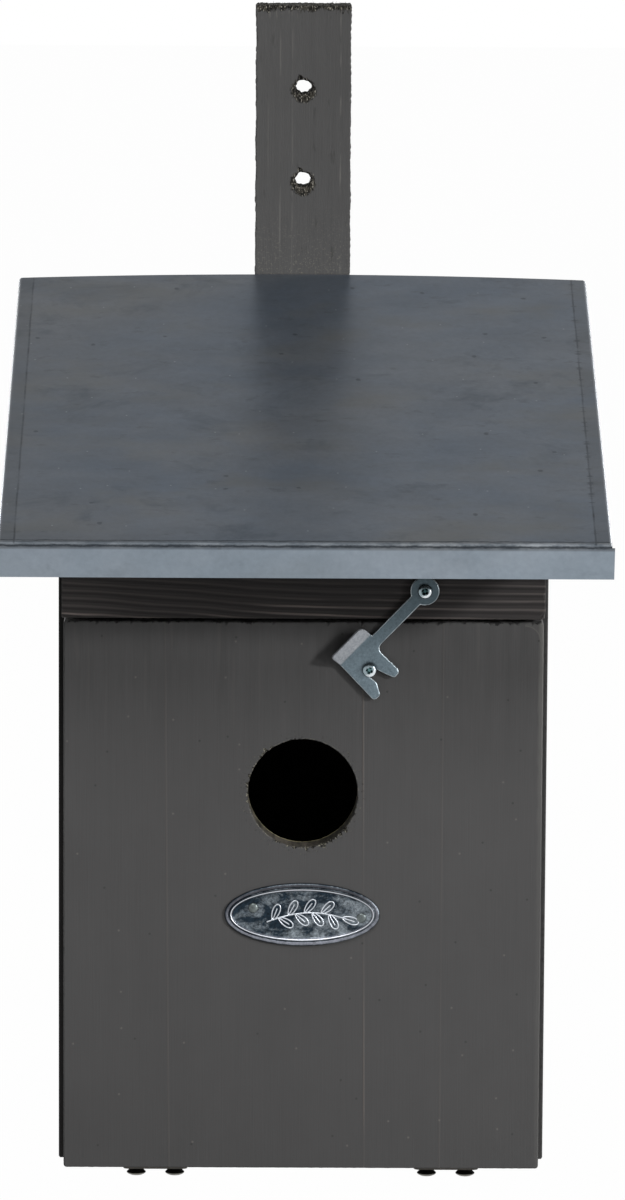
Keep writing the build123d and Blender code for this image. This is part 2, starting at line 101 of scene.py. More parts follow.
DOOR_LOW, DOOR_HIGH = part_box("door_panel")
RAIL_LOW, RAIL_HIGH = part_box("front_rail")
BATTEN_LOW, BATTEN_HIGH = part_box("mounting_batten")
SHEET_LOW, SHEET_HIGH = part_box("roof_sheet")
BADGE_LOW, BADGE_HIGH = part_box("badge_plate")
BADGE_MIDDLE = (BADGE_LOW + BADGE_HIGH) / 2
LATCH_LOW, LATCH_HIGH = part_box("latch_hook")
LATCH_FRONT = LATCH_HIGH.y - LATCH_PLATE
ENTRANCE = Vector(mounts["entrance_hole"]["pos_m"])
ENTRANCE_R = mounts["entrance_hole"]["dims"]["r_mm"] * MM
BATTEN_HOLES = Vector(mounts["batten_holes"]["pos_m"])
BATTEN_HOLE_R = mounts["batten_holes"]["dims"]["hole_r_mm"] * MM
BATTEN_PITCH = mounts["batten_holes"]["dims"]["spacing_y_mm"] * MM
HOLE_CENTRES = [BATTEN_HOLES.z + side * BATTEN_PITCH / 2 for side in (-1, 1)]


def linear(*screen):
    """A linear colour from three screen values of 0 to 255."""
    shares = [v / 255 for v in screen]
    return (*(v / 12.92 if v <= 0.04045 else ((v + 0.055) / 1.055) ** 2.4 for v in shares), 1.0)


def operator(operation, swapped=False):
    """A method of a value that makes a Math node."""
    def method(self, *others):
        values = (self, *others)
        return self.tree.math(operation, *(values[::-1] if swapped else values))
    return method


class Value:
    """An output in a node tree. A number takes arithmetic, and a comparison gives 1 or 0."""

    def __init__(self, tree, socket):
        self.tree, self.socket = tree, socket

    __add__, __mul__, __abs__ = operator("ADD"), operator("MULTIPLY"), operator("ABSOLUTE")
    __sub__, __rsub__ = operator("SUBTRACT"), operator("SUBTRACT", swapped=True)
    __gt__, __lt__ = operator("GREATER_THAN"), operator("LESS_THAN")

    def span(self, low, high, to_low=0.0, to_high=1.0, smooth=False):
        """The value carried from one range to another, held at the ends."""
        kind = "SMOOTHSTEP" if smooth else "LINEAR"
        inputs = (self, low, high, to_low, to_high)
        return self.tree.value("MapRange", inputs, interpolation_type=kind)

    def fall(self, low, high, to_high=0.0):
        """1 up to low, falling to 0, or to another end, at high."""
        return self.span(low, high, 1.0, to_high)

    def sway(self, amount):
        """1 plus or minus an amount, from a noise value."""
        return self.span(0.3, 0.7, 1 - amount, 1 + amount)

    def line(self, centre, half_width):
        """1 at centre, falling to 0 at half_width either side."""
        return abs(self - centre).span(0.0, half_width, 1.0, 0.0, smooth=True)

    def stripes(self, pitch, sharp):
        """Thin lines one pitch apart; sharp is the sine's height at which a line starts."""
        wave = self.tree.math("SINE", self * (2 * pi / pitch))
        return wave.span(sharp, 1.0, smooth=True)


class Tree:
    """A material's or a world's nodes, with short calls that make and link them."""

    def __init__(self, owner, output):
        owner.use_nodes = True
        self.tree = owner.node_tree
        self.tree.nodes.clear()
        self.out = self.node(output)

    def set(self, socket, value):
        """Links or sets an input. A colour is a value or three screen values."""
        if isinstance(value, Value):
            self.tree.links.new(value.socket, socket)
        else:
            socket.default_value = linear(*value) if socket.type == "RGBA" else value

    def show(self, surface):
        self.set(self.out.inputs[0], surface)

    def node(self, kind, inputs=(), **settings):
        """A node with its settings, and its inputs in order or by name or number."""
        made = self.tree.nodes.new("ShaderNode" + kind)
        for name, value in settings.items():
            setattr(made, name, value)
        for key, value in inputs.items() if isinstance(inputs, dict) else enumerate(inputs):
            self.set(made.inputs[key], value)
        return made

    def value(self, kind, inputs=(), output=0, **settings):
        """One output of a new node."""
        return Value(self, self.node(kind, inputs, **settings).outputs[output])

    def math(self, operation, *values):
        return self.value("Math", values, operation=operation)

    def most(self, first, *others):
        """The largest of some values."""
        for other in others:
            first = self.math("MAXIMUM", first, other)
        return first


class Shader(Tree):
    """A material that is painted in layers over a running colour."""

    def __init__(self, name, tone=None):
        self.material = bpy.data.materials.new(name)
        super().__init__(self.material, "OutputMaterial")
        self.surface = self.node("BsdfPrincipled")
        self.show(Value(self, self.surface.outputs[0]))
        self.place = self.value("TexCoord", output="Object")
        split = self.node("SeparateXYZ", [self.place])
        self.x, self.y, self.z = (Value(self, socket) for socket in split.outputs)
        self.colour = tone

    def noise(self, scale, detail=2.0, stretch=None, rough=0.5, twist=0.0):
        place = self.place
        if stretch:
            place = self.value("Mapping", {0: place, "Scale": stretch})
        inputs = {"Vector": place, "Scale": scale, "Detail": detail, "Roughness": rough}
        return self.value("TexNoise", {**inputs, "Distortion": twist})

    def specks(self, u, v, cell_mm, radius_mm, share):
        """Round specks on a share of the cells of a flat grid."""
        flat = self.value("CombineXYZ", [u, v, 0.0])
        inputs = {"Vector": flat, "Scale": 1 / (cell_mm * MM)}
        found = self.node("TexVoronoi", inputs, voronoi_dimensions="2D").outputs
        reach = radius_mm / cell_mm
        spot = Value(self, found["Distance"]).fall(reach * 0.5, reach)
        pick = self.value("SeparateColor", [Value(self, found["Color"])])
        return spot * (pick > 1 - share)

    def circle(self, centre_x, centre_z):
        """Distance from an axis that runs front to back."""
        across, up = self.x - centre_x, self.z - centre_z
        return self.math("SQRT", across * across + up * up)

    def mix(self, share, a, b, blend="MIX"):
        inputs = {0: share, 6: a, 7: b}
        return self.value("Mix", inputs, 2, data_type="RGBA", blend_type=blend)

    def tint(self, colour, amount):
        """The colour times a grey amount."""
        grey = self.value("CombineColor", [amount] * 3)
        return self.mix(1.0, colour, grey, "MULTIPLY")

    def shade(self, amount):
        """Tints the colour so far."""
        self.colour = self.tint(self.colour, amount)

    def paint(self, share, tone):
        """Lays a tone over the colour so far."""
        self.colour = self.mix(share, self.colour, tone)

    def finish(self, height, depth_mm, strength, **sockets):
        """The material, with its bumps and what else its surface is set to."""
        bump = {"Height": height, "Distance": depth_mm * MM, "Strength": strength}
        sockets.update(Base_Color=self.colour, Normal=self.value("Bump", bump))
        for name, value in sockets.items():
            self.set(self.surface.inputs[name.replace("_", " ")], value)
        return self.material

    def wood(self, height, depth_mm=0.12, strength=0.6, rough=0.8, shine=0.2):
        return self.finish(height, depth_mm, strength, Roughness=rough, Specular_IOR_Level=shine)

    def metal(self, height, depth_mm, strength, metallic, rough):
        return self.finish(height, depth_mm, strength, Metallic=metallic, Roughness=rough)


# Finishes

ALONG = {"X": (0.025, 1, 1), "Y": (1, 0.025, 1), "Z": (1, 1, 0.025)}
BOARD_TONE = (76, 75.5, 75)


def grain(name, along, tone, contrast=1.0):
    """Stained sawn wood with streaks along one axis: (shader, height of the grain)."""
    s = Shader(name, tone)
    run = ALONG[along]
    cloud = s.noise(22, 3)
    broad = s.noise(210, 2, run, twist=0.2)
    fine = s.noise(1500, 3, run)
    hair = s.noise(3200, 2, run)
    s.shade(cloud.sway(0.035) * broad.sway(0.025 * contrast) * fine.sway(0.02 * contrast))
    return s, broad * 0.5 + fine + hair * 0.5


def board_finish(name, along):
    """The stained boards at the back, at the roof and underneath."""
    s, height = grain(name, along, BOARD_TONE)
    return s.wood(height)


def door_finish():
    """The door's stain: fine upright streaks, raised light lines, rubbed edges and specks, with
    light and shade painted across it and in the entrance.
    """
    s, height = grain("door_stain_and_light", "Z", (78, 77.5, 77.5), 0.35)
    top, right = DOOR_HIGH.z, DOOR_HIGH.x
    near_top = s.z.span(top - 50 * MM, top - 5 * MM, smooth=True)
    combed = s.noise(300, 4, (1, 1, 0.08), rough=0.75)
    troughs, crests = near_top.span(0, 1, 0.99, 0.9), near_top.span(0, 1, 1.01, 1.03)
    s.shade(combed.span(0.35, 0.65, troughs, crests))
    blotch = s.noise(75, 3, (1, 1, 0.7), rough=0.6)
    # Painted light: the door is tinted lighter towards its right, where the key light comes from,
    # and towards its top.
    rightward = s.x.span(-right, right, 0.965, 1.035)
    s.shade(blotch.sway(0.025) * rightward * s.z.span(DOOR_LOW.z, top, 0.89, 1.12))
    threads = s.noise(420, 2, (1, 1, 0.05)).span(0.64, 0.7) * near_top
    s.paint(threads * 0.16, (104, 101, 98))

    broken = s.noise(60, 2, (1, 1, 0.4)).span(0.35, 0.6, 0.2, 1.0)
    ridges = []
    for place, lean, strength in ((-39.3, 0.0093, 0.35), (18.8, 0.008, 1.0), (41.2, 0.0, 0.4)):
        drawn = (s.x + s.z * lean).line(place * MM, 0.45 * MM)
        ridges.append(drawn * broken * strength)
    ridge = s.most(*ridges)
    s.paint(ridge * 0.6, (104, 98, 94))

    inset, turn_r = 5.6 * MM, 4.7 * MM
    corner = s.circle(right - inset, top - inset)
    in_corner = (s.x > right - inset) * (s.z > top - inset)
    s.paint(corner.line(turn_r, 0.3 * MM) * in_corner * 0.6, (108, 106, 102))
    s.paint((corner > turn_r) * in_corner * 0.3, (100, 99, 97))
    ragged = s.x + s.noise(900, 2, (1, 1, 0.2)) * (1.2 * MM)
    deep = s.y - DOOR_LOW.y
    rubbed = ragged.span(right - 1.1 * MM, right - 0.2 * MM) * deep.fall(0.5 * MM, 1.2 * MM)
    s.paint(rubbed * s.z.span(DOOR_LOW.z + 90 * MM, top, 0.15, 0.75), (112, 111, 108))
    frayed = s.z + s.noise(260, 4, (1, 1, 0.7), rough=0.75) * (6.0 * MM)
    s.paint(frayed.span(top + 2.8 * MM, top + 3.2 * MM) * 0.9, (22, 21, 21))
    s.paint(s.specks(s.x, s.z, 16, 0.42, 0.45) * 0.45, (116, 112, 108))
    s.paint(s.specks(s.z, s.x, 15, 0.45, 0.4) * 0.5, (50, 50, 50))

    beyond = s.circle(ENTRANCE.x, ENTRANCE.z) - ENTRANCE_R
    rightward = s.x - ENTRANCE.x
    cut = s.noise(500, 3, (1, 0.1, 1))
    fibres = s.noise(900, 3)
    # Painted light and shade in the entrance's bore: its wall is painted dark as shade, and
    # lighter on its left side, where the key light falls, fading towards the right; the lighter
    # parts follow the bare wood's noise.
    bare_and_lit = cut.span(0.35, 0.62) * rightward.fall(MM, 9 * MM, 0.3)
    wall = s.mix(bare_and_lit, (22, 21, 18), (84, 79, 71))
    wall = s.mix(fibres.span(0.56, 0.62, 0.0, 0.7), wall, (12, 11, 10))
    broken_out = deep.span(BOARD * 0.62, BOARD * 0.69) * deep.fall(BOARD * 0.74, BOARD * 0.84, 0.3)
    # The torn-out rim at the back of the bore is painted pale, as raw wood and as painted light,
    # brightest on the left and fading towards the right.
    torn_back_rim_lit = broken_out * fibres.span(0.35, 0.55) * rightward.fall(-2 * MM, 14 * MM, 0.5)
    wall = s.mix(torn_back_rim_lit, wall, (176, 168, 128))
    s.paint(beyond.fall(0.7 * MM, 0.8 * MM) * deep.span(0.2 * MM, 0.5 * MM), wall)

    bite = s.noise(1000, 3, rough=0.7)
    near_rim = beyond.fall(2.2 * MM, 3.0 * MM) * deep.fall(2.2 * MM, 3.0 * MM)
    cut_in = (deep + bite * (0.4 * MM)).span(0.22 * MM, 0.34 * MM)
    bitten = near_rim * cut_in * beyond.span(0.2 * MM, 0.4 * MM) * bite.span(0.38, 0.5, 0.55, 1.0)
    s.paint(bitten * 0.95, (14, 13, 12))
    lip_ring = beyond.line(0.35 * MM, 0.5 * MM) * deep.fall(0.0, 0.5 * MM, 0.3)
    # Pale specks on the entrance's rim and chips: raw fibres, and painted highlights where they
    # catch the light.
    sparkle = s.noise(1400, 3, rough=0.7).span(0.51, 0.58)
    s.paint(s.most(lip_ring * 0.45, bitten) * sparkle * 0.8, (140, 137, 124))
    return s.wood(height + ridge * 2.5, 0.06)


def side_finish():
    """The side boards' stain, ragged on their sawn front edges, with painted shade that darkens
    those edges, the left one most.
    """
    s, height = grain("side_stain_and_shade", "Z", BOARD_TONE)
    near = (s.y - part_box("side_wall_left")[0].y).fall(0.0, 3 * MM)
    # Painted shade: the front faces beside the door are darkened nearly to black, the left one
    # most.
    s.paint(near * s.x.span(-MM, MM, 0.85, 0.3), (16, 15, 15))
    torn = s.noise(900, 3, (1, 1, 0.6), rough=0.7).span(0.54, 0.62)
    outer = abs(s.x).span(DOOR_HIGH.x + 0.5 * MM, DOOR_HIGH.x + 1.6 * MM)
    s.paint(near * torn * outer * 0.7, (12, 11, 10))
    return s.wood(height)


def rail_finish():
    """The rail's dark stain over open grain, with thin light lines that wander along it; painted
    shade darkens it under the roof's lip, and painted light brightens its ends.
    """
    s, height = grain("rail_stain_and_shade", "X", (58, 55.5, 55), 1.8)
    pitch = 2.3 * MM
    drift = s.noise(20, 2, (0.3, 1, 1)) * (9 * MM)
    waver = s.noise(90, 2, (0.15, 1, 1)) * (2.6 * MM)
    ripple = s.noise(260, 2, (0.2, 1, 1)) * (0.6 * MM)
    field = s.z + s.x * s.x.span(-60 * MM, 40 * MM, 0.055, 0.012) + drift + waver + ripple
    faded = s.noise(60, 2, (0.3, 1, 1)).span(0.42, 0.62, 0.1, 1.0)
    lines = field.stripes(pitch, 0.4) * faded * s.x.fall(10 * MM, 50 * MM, 0.6)
    line_tone = s.mix(s.x.span(-30 * MM, 40 * MM), (152, 141, 136), (116, 109, 106))
    s.paint(lines * 0.85, line_tone)
    s.paint((field + 0.9 * MM).stripes(pitch, 0.3) * 0.5, (32, 30, 30))
    # Painted shade: the rail darkens towards its top, under the roof's lip, and painted light
    # brightens it towards both ends, most at the left end.
    deep = s.z.fall(RAIL_LOW.z + 2 * MM, RAIL_HIGH.z - 16 * MM, 0.5)
    lit_left_end = s.x.span(-68 * MM, -52 * MM, 1.3, 1.0)
    s.shade(deep * abs(s.x).span(25 * MM, 66 * MM, 0.8, 1.15) * lit_left_end)
    return s.wood(height + lines * 1.5, 0.15, 0.8)


def batten_finish():
    """The batten's stain over rough fibres, with raw wood where the saw and the drill tore it, and
    painted light and shade: a darker top face and a paler foot.
    """
    s, height = grain("batten_stain_and_light", "Z", (79, 78.5, 78), 0.5)
    foot, top = SHEET_HIGH.z, BATTEN_HIGH.z
    fibre = s.noise(620, 5, (1, 1, 0.14), rough=0.8)
    s.shade(fibre.sway(0.055))
    s.paint(s.noise(420, 3, (1, 1, 0.25)).span(0.64, 0.72, 0.0, 0.4), (54, 53, 52))
    drift = s.x + s.noise(40, 1, (1, 1, 0.3)) * (0.8 * MM)
    streaks = ((12.0, 0.4), (-6.8, 0.25), (-3.0, 0.2), (-10.6, 0.15))
    light = s.most(*(drift.line(place * MM, 0.4 * MM) * strength for place, strength in streaks))
    s.paint(light * s.noise(160, 3, (1, 1, 0.3), rough=0.7).span(0.48, 0.62), (128, 125, 120))
    grit = s.noise(1700, 3, rough=0.7)
    scuffed = s.z.fall(foot - 5 * MM, foot + 26 * MM) * grit.span(0.56, 0.64)
    s.paint(scuffed * 0.5, (126, 122, 112))

    frayed = s.z + s.noise(650, 3, (1, 1, 0.5), rough=0.7) * (6.0 * MM)
    raw = frayed.span(top + 0.6 * MM, top + 1.4 * MM)
    for centre in HOLE_CENTRES:
        reach = s.circle(BATTEN_HOLES.x, centre - 0.6 * MM) - BATTEN_HOLE_R
        ragged = reach + s.noise(1100, 3, rough=0.65) * (2.4 * MM)
        nick = s.circle(BATTEN_HOLES.x - MM, centre + BATTEN_HOLE_R + 0.7 * MM)
        picked = nick + s.noise(1400, 2) * (0.8 * MM)
        raw = s.most(raw, ragged.fall(2.0 * MM, 2.6 * MM), picked.fall(1.0 * MM, 1.4 * MM))
    stringy = s.noise(1600, 3, (1, 0.4, 0.3), rough=0.65)
    wood = s.mix(stringy.span(0.46, 0.58), (8, 7, 6), (58, 55, 48))
    glint = s.noise(2100, 2, (1, 1, 0.5)).span(0.58, 0.63) * 0.85
    wood = s.mix(glint, wood, (146, 142, 132))
    hanging = s.noise(800, 2, (1, 1, 0.25)).span(0.58, 0.66) * s.z.span(top - 5 * MM, top)
    s.paint(hanging * 0.5, (128, 126, 118))
    s.paint(raw * 0.94, wood)
    # Painted shade on the batten's top face, where the top lamp falls.
    s.shade(s.z.fall(top - 1.0 * MM, top - 0.4 * MM, 0.45))
    # Painted light: paler towards the foot, as lit by the roof sheet below it, and darker towards
    # the right.
    lit_foot = s.z.span(foot, foot + 60 * MM, 1.13, 1.0)
    s.shade(lit_foot * s.x.span(BATTEN_LOW.x, BATTEN_HIGH.x, 1.03, 0.94))
    return s.wood(height * 0.4 + fibre + grit * raw * 2.0, 0.14, 0.9, 0.85, 0.15)


def sheet_finish():
    """Weathered zinc sheet: clouded and stained, with press marks by the bends, and painted light:
    a paler lip, a lighter right side and a highlight along the front bend.
    """
    s = Shader("zinc_sheet")
    lip_cloud = s.noise(30, 4, (0.8, 1, 1), rough=0.6)
    jagged = s.noise(600, 4, (0.5, 1, 1), rough=0.75) * (1.2 * MM)
    wobble = abs(s.x) + s.noise(60, 2) * (0.5 * MM)
    dy, dz = s.y - SHEET_HIGH.y, s.z - SHEET_HIGH.z
    run, rise = cos(ROOF_PITCH), sin(ROOF_PITCH)
    down = dy * -run - dz * rise
    under = dy * rise - dz * run
    length = (SHEET_HIGH.y - SHEET_LOW.y) / run - SHEET_BEND
    s.place = s.value("CombineXYZ", [s.x, down, under])
    cloud = s.noise(13, 5, (0.75, 1.15, 1), rough=0.62)
    drag = s.noise(60, 5, (0.6, 1.3, 1), rough=0.65)
    grit = s.noise(520, 4, rough=0.65)
    s.colour = s.mix(cloud.span(0.38, 0.62), (97, 107, 119), (111, 116, 122))
    lip = under.span(SHEET_BEND, 1.8 * SHEET_BEND)
    off_lip = 1.0 - lip
    # Painted light: the lip is painted paler than the top, as it catches the front light.
    s.paint(lip, s.mix(lip_cloud.span(0.4, 0.6), (129, 140, 150), (137, 147, 157)))
    s.shade(s.mix(lip, drag.sway(0.11), drag.sway(0.04)) * grit.sway(0.06))
    # Painted light: darker at the left, lighter towards the right.
    s.shade(s.x.span(SHEET_LOW.x, SHEET_HIGH.x * 0.7, 0.95, 1.07))

    less_on_lip = lip.fall(0.0, 1.0, 0.3)
    warm = s.noise(26, 4, (0.6, 1.2, 1), rough=0.62)
    smear = s.noise(34, 5, (0.75, 1.1, 1), rough=0.72, twist=0.5)
    dashes = s.noise(170, 4, (0.5, 1.2, 1), rough=0.7)
    s.paint(warm.span(0.5, 0.66, 0.0, 0.5) * less_on_lip, (109, 110, 107))
    s.paint(smear.span(0.55, 0.68, 0.0, 0.6) * less_on_lip, (72, 82, 92))
    s.paint(dashes.span(0.6, 0.68, 0.0, 0.35) * less_on_lip, (70, 76, 82))
    dots = s.specks(s.x + grit * (1.6 * MM), down + drag * (5.0 * MM), 19, 0.9, 0.35)
    s.paint(dots * off_lip * 0.6, (48, 54, 60))
    s.paint(s.specks(down, s.x, 13, 0.36, 0.35) * 0.5, (168, 172, 174))

    die = (SHEET_HIGH.x - SHEET_LOW.x) / 2 - 5.2 * MM
    side = wobble.line(die, 0.5 * MM) * drag.fall(0.35, 0.6, 0.3)
    tick = s.noise(420, 3, (0.05, 1, 1), rough=0.7) > 0.57
    ticks = tick * wobble.line(die, 1.4 * MM) * s.x.span(-MM, MM, 0.25, 1.0)
    beside = wobble.span(die, die + 0.6 * MM) * smear.span(0.4, 0.6, 0.15, 0.5)
    s.paint(beside * off_lip, (84, 89, 94))
    above = (down + jagged).line(length + 0.25 * MM, 0.5 * MM)
    below = (under + jagged).line(SHEET_BEND + 0.25 * MM, 0.5 * MM)
    on_top = under.fall(0.2 * MM, 0.6 * MM)
    press = s.most(s.most(side, ticks * 0.7) * on_top, above, below)
    # Painted highlight along the front bend, brighter towards the right.
    in_bend = down.span(length, length + 0.2 * MM) * off_lip
    painted_bend_highlight = s.mix(s.x.span(0.0, 30 * MM, 0.35, 0.9), (84, 90, 96), (132, 136, 140))
    s.paint(in_bend * 0.85, s.mix(dashes.span(0.4, 0.62), (72, 78, 84), painted_bend_highlight))
    s.paint(press * 0.9, (34, 40, 46))
    relief = drag * 0.3 + grit * 0.1 + press * -0.5
    return s.metal(relief, 0.08, 0.5, 0.75, cloud.span(0.3, 0.7, 0.3, 0.36) + in_bend * 0.3)


def metal_finish(name, tone, rough, cloud, scratch, metallic=1.0, spots=None):
    """Plated steel: clouded, finely scratched, with dull patches."""
    s = Shader(name, tone)
    patch = s.noise(260, 4, rough=0.6)
    rub = s.noise(2600, 3, (1, 0.2, 1))
    s.shade(patch.sway(cloud) * rub.sway(scratch))
    if spots:
        s.paint(s.noise(900, 4, rough=0.7).span(0.58, 0.7, 0.0, 0.6), spots)
    dull = patch.span(0.3, 0.7, rough - 0.05, rough + 0.07) + rub * 0.04
    return s.metal(patch + rub * 0.3, 0.02, 0.5, metallic, dull)


def latch_finish():
    """The hook's zinc plate, with painted light: shade darker up by the eye, a pale finger tab,
    and highlights on its rounded edges.
    """
    s = Shader("latch_steel")
    patch = s.noise(260, 4, rough=0.6)
    rub = s.noise(2400, 3, (1, 0.2, 1))
    grit = s.noise(1300, 4, rough=0.75)
    # Painted shade: darker up by the eye, under the roof.
    down = s.z.span(LATCH_LOW.z + 4 * MM, LATCH_HIGH.z - 4 * MM, 1.0, 0.0, smooth=True)
    s.colour = s.mix(down, (67, 79, 85), (104, 118, 126))
    # Painted light: the raised finger tab is painted pale, as it catches the light.
    raised = (LATCH_FRONT - s.y).span(0.1 * MM, 0.45 * MM)
    s.paint(raised, (152, 156, 161))
    # Painted highlights on the rounded edges.
    behind = s.y - LATCH_FRONT
    rounded = behind.span(0.02 * MM, 0.08 * MM) * behind.fall(0.38 * MM, 0.45 * MM)
    s.paint(rounded * patch.span(0.35, 0.6, 0.4, 0.9), (196, 205, 210))
    s.shade(patch.sway(0.08) * rub.sway(0.05) * grit.sway(0.24))
    dull = patch.span(0.3, 0.7, 0.34, 0.44) + rub * 0.04 + raised * 0.2
    return s.metal(patch + rub * 0.3, 0.02, 0.5, raised.span(0.0, 1.0, 0.85, 0.35), dull)


def pan_finish(node, recess, share):
    """A pan head painted bright towards its lower right as a highlight, with a darker recess over
    a share of its radius.
    """
    s = Shader(node + "_steel")
    low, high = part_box(node)
    middle = (low + high) / 2
    radius = (high.x - low.x) / 2
    grit = s.noise(1800, 3, rough=0.6)
    reach = s.circle(middle.x, middle.z) + grit * (0.35 * MM)
    # Painted highlight: the head is paler towards its lower right.
    lean = (s.x - middle.x) * 0.6 - (s.z - middle.z) * 0.8
    highlight_crescent = lean.span(radius * 0.1, radius * 0.6)
    s.colour = s.mix(highlight_crescent, (140, 154, 160), (222, 228, 232))
    s.shade(grit.sway(0.2))
    s.paint(reach.fall(radius * share, radius * (share + 0.18)), recess)
    s.paint(reach.span(radius * 0.98, radius * 1.06), (52, 62, 68))
    return s.metal(grit, 0.03, 0.5, 0.95, 0.24)


def hinge_screw_finish():
    """Dull countersunk screws, painted lighter round the rim as a highlight."""
    s = Shader("hinge_screw_steel")
    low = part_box("hinge_door_screws")[0].z
    grit = s.noise(900, 4, rough=0.65)
    cone = s.tint((40, 40, 38), grit.sway(0.25))
    # Painted highlight: the heads' rims are painted lighter than their cones.
    rim = s.tint((112, 111, 104), grit.sway(0.45))
    edge = s.z + grit * (0.3 * MM)
    s.colour = s.mix(edge.span(low - 0.2 * MM, low + 0.1 * MM), rim, cone)
    return s.metal(grit, 0.03, 0.5, 0.9, 0.38)


def badge_finish():
    """Antiqued plate: dark in its field and grooves, bright where it is rubbed; painted shade
    darkens its raised parts towards the top and the foot of its rim.
    """
    s = Shader("badge_metal")
    rise = DOOR_LOW.y - s.y
    patch = s.noise(190, 5, (1, 1, 1.6), rough=0.72, twist=0.4)
    grit = s.noise(1300, 4, rough=0.75)
    tilt = (s.x + s.z * -0.8).span(-86 * MM, -48 * MM, 0.52, 0.39)
    aged = s.mix((patch - tilt).span(0.0, 0.2), (28, 40, 50), (120, 128, 134))
    aged = s.tint(aged, grit.sway(0.7))
    # Painted shade: the raised parts darken towards the top.
    shaded_towards_top = s.z.span(BADGE_LOW.z + 2 * MM, BADGE_HIGH.z - 2 * MM, 1.08, 0.26)
    rubbed = s.tint((126, 129, 138), patch.sway(0.35) * grit.sway(0.35) * shaded_towards_top)
    high = rise.span(0.62 * MM, 0.78 * MM)
    s.colour = s.mix(high, aged, rubbed)
    s.paint(rise.span(1.08 * MM, 1.22 * MM), (206, 210, 217))
    # Painted shadow round the foot of the rim; the same mask darkens the groove inside the rim.
    foot = rise.fall(0.45 * MM, 0.7 * MM) * (rise < 0.57 * MM)
    s.paint(foot * 0.9, (26, 32, 38))
    return s.metal(grit * 0.6 + patch, 0.1, 0.7, 0.85, high.span(0, 1, 0.5, 0.36))


FINISH = {
    "upright": board_finish("board_upright", "Z"),
    "lengthwise": board_finish("board_lengthwise", "Y"),
    "crosswise": board_finish("board_crosswise", "X"),
    "side": side_finish(),
    "door": door_finish(),
    "rail": rail_finish(),
    "batten": batten_finish(),
    "sheet": sheet_finish(),
    "latch": latch_finish(),
    "latch_pivot_screw": pan_finish("latch_pivot_screw", (46, 68, 70), 0.52),
    "latch_keeper_screw": pan_finish("latch_keeper_screw", (92, 122, 124), 0.4),
    "hinge_screw": hinge_screw_finish(),
    "bright": metal_finish("bright_steel", (168, 171, 175), 0.26, 0.14, 0.1),
    "hinge": metal_finish("hinge_steel", (66, 64, 60), 0.45, 0.2, 0.1, 0.85, (52, 44, 34)),
    "badge": badge_finish(),
    "sprig": metal_finish("sprig_metal", (200, 205, 212), 0.36, 0.16, 0.1, 0.9),
    "pin": metal_finish("pin_metal", (106, 113, 113), 0.4, 0.4, 0.2, 0.95, (44, 50, 50)),
}


def wear(node, finish):
    """Puts a finish on a CAD node."""
    data = nodes[node].data
    data.materials.clear()
    data.materials.append(FINISH[finish])


# Mesh helpers

def linked(name, data):
    """A new object of the scene."""
    made = bpy.data.objects.new(name, data)
    bpy.context.scene.collection.objects.link(made)
    return made


def piece_of(name, mesh, finish, body, slot, *replaced):
    """Links a mesh as a piece: its finish, the body it rides on and the nodes it stands for."""
    made = linked(name, mesh)
    mesh.materials.clear()
    mesh.materials.append(FINISH[finish])
    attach(made, body)
    if replaced:
        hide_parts(*replaced)


def mesh_from(name, bm, angle=35.0):
    """A mesh whose edges look sharp only past an angle."""
    bmesh.ops.recalc_face_normals(bm, faces=bm.faces)
    mesh = bpy.data.meshes.new(name)
    bm.to_mesh(mesh)
    bm.free()
    mesh.shade_smooth()
    mesh.set_sharp_from_angle(angle=radians(angle))
    return mesh


def piece_from(name, bm, angle, *role):
    """Makes a bmesh a piece."""
    piece_of(name, mesh_from(name, bm, angle), *role)


def shown_mesh(drawn):
    """A mesh of what an object shows, with its modifiers or bevel."""
    seen = drawn.evaluated_get(bpy.context.evaluated_depsgraph_get())
    return bpy.data.meshes.new_from_object(seen)


def turns(count):
    """Angles in equal steps round a circle."""
    return [2 * pi * i / count for i in range(count)]


def band(bm, rows):
    """Faces between each closed row of corners and the next. One corner alone is a tip."""
    for upper, lower in zip(rows, rows[1:]):
        count = max(len(upper), len(lower))
        for i in range(count):
            j = (i + 1) % count
            corners = (upper[i % len(upper)], upper[j % len(upper)])
            corners += (lower[j % len(lower)], lower[i % len(lower)])
            bm.faces.new(list(dict.fromkeys(corners)))


def welded(node):
    """A copy of a CAD node's mesh, its facets joined at their corners."""
    bm = bmesh.new()
    bm.from_mesh(nodes[node].data)
    bmesh.ops.remove_doubles(bm, verts=bm.verts, dist=WELD)
    return bm


def merged(node):
    """A copy of a CAD node's mesh, each of its flat faces in one piece."""
    bm = welded(node)
    flat = radians(0.5)
    bmesh.ops.dissolve_limit(bm, angle_limit=flat, verts=bm.verts, edges=bm.edges)
    return bm


def solids(node):
    """The separate solids of a CAD node, each as a list of its points."""
    bm = welded(node)
    met, groups = set(), []
    for start in bm.verts:
        group, todo = [], [] if start in met else [start]
        met.add(start)
        while todo:
            vertex = todo.pop()
            group.append(vertex.co.copy())
            for edge in vertex.link_edges:
                other = edge.other_vert(vertex)
                if other not in met:
                    met.add(other)
                    todo.append(other)
        if group:
            groups.append(group)
    bm.free()
    return groups


def head_spots(node, outward, shift=0.0):
    """(place, outward) of each screw: the middle of its head's outermost face, moved outward."""
    spots = []
    for points in solids(node):
        top = max(point.dot(outward) for point in points)
        rim = [point for point in points if top - point.dot(outward) < 0.01 * MM]
        spots.append((sum(rim, Vector()) / len(rim) + outward * shift, outward))
    return spots


def turned(profile, segments=48):
    """A turned solid about Z from (radius, height) points that start and end on the axis."""
    bm = bmesh.new()
    rows = []
    for radius, height in profile:
        around = turns(segments) if radius else [0.0]
        spots = [(radius * cos(t), radius * sin(t), height) for t in around]
        rows.append([bm.verts.new(spot) for spot in spots])
    band(bm, rows)
    return bm


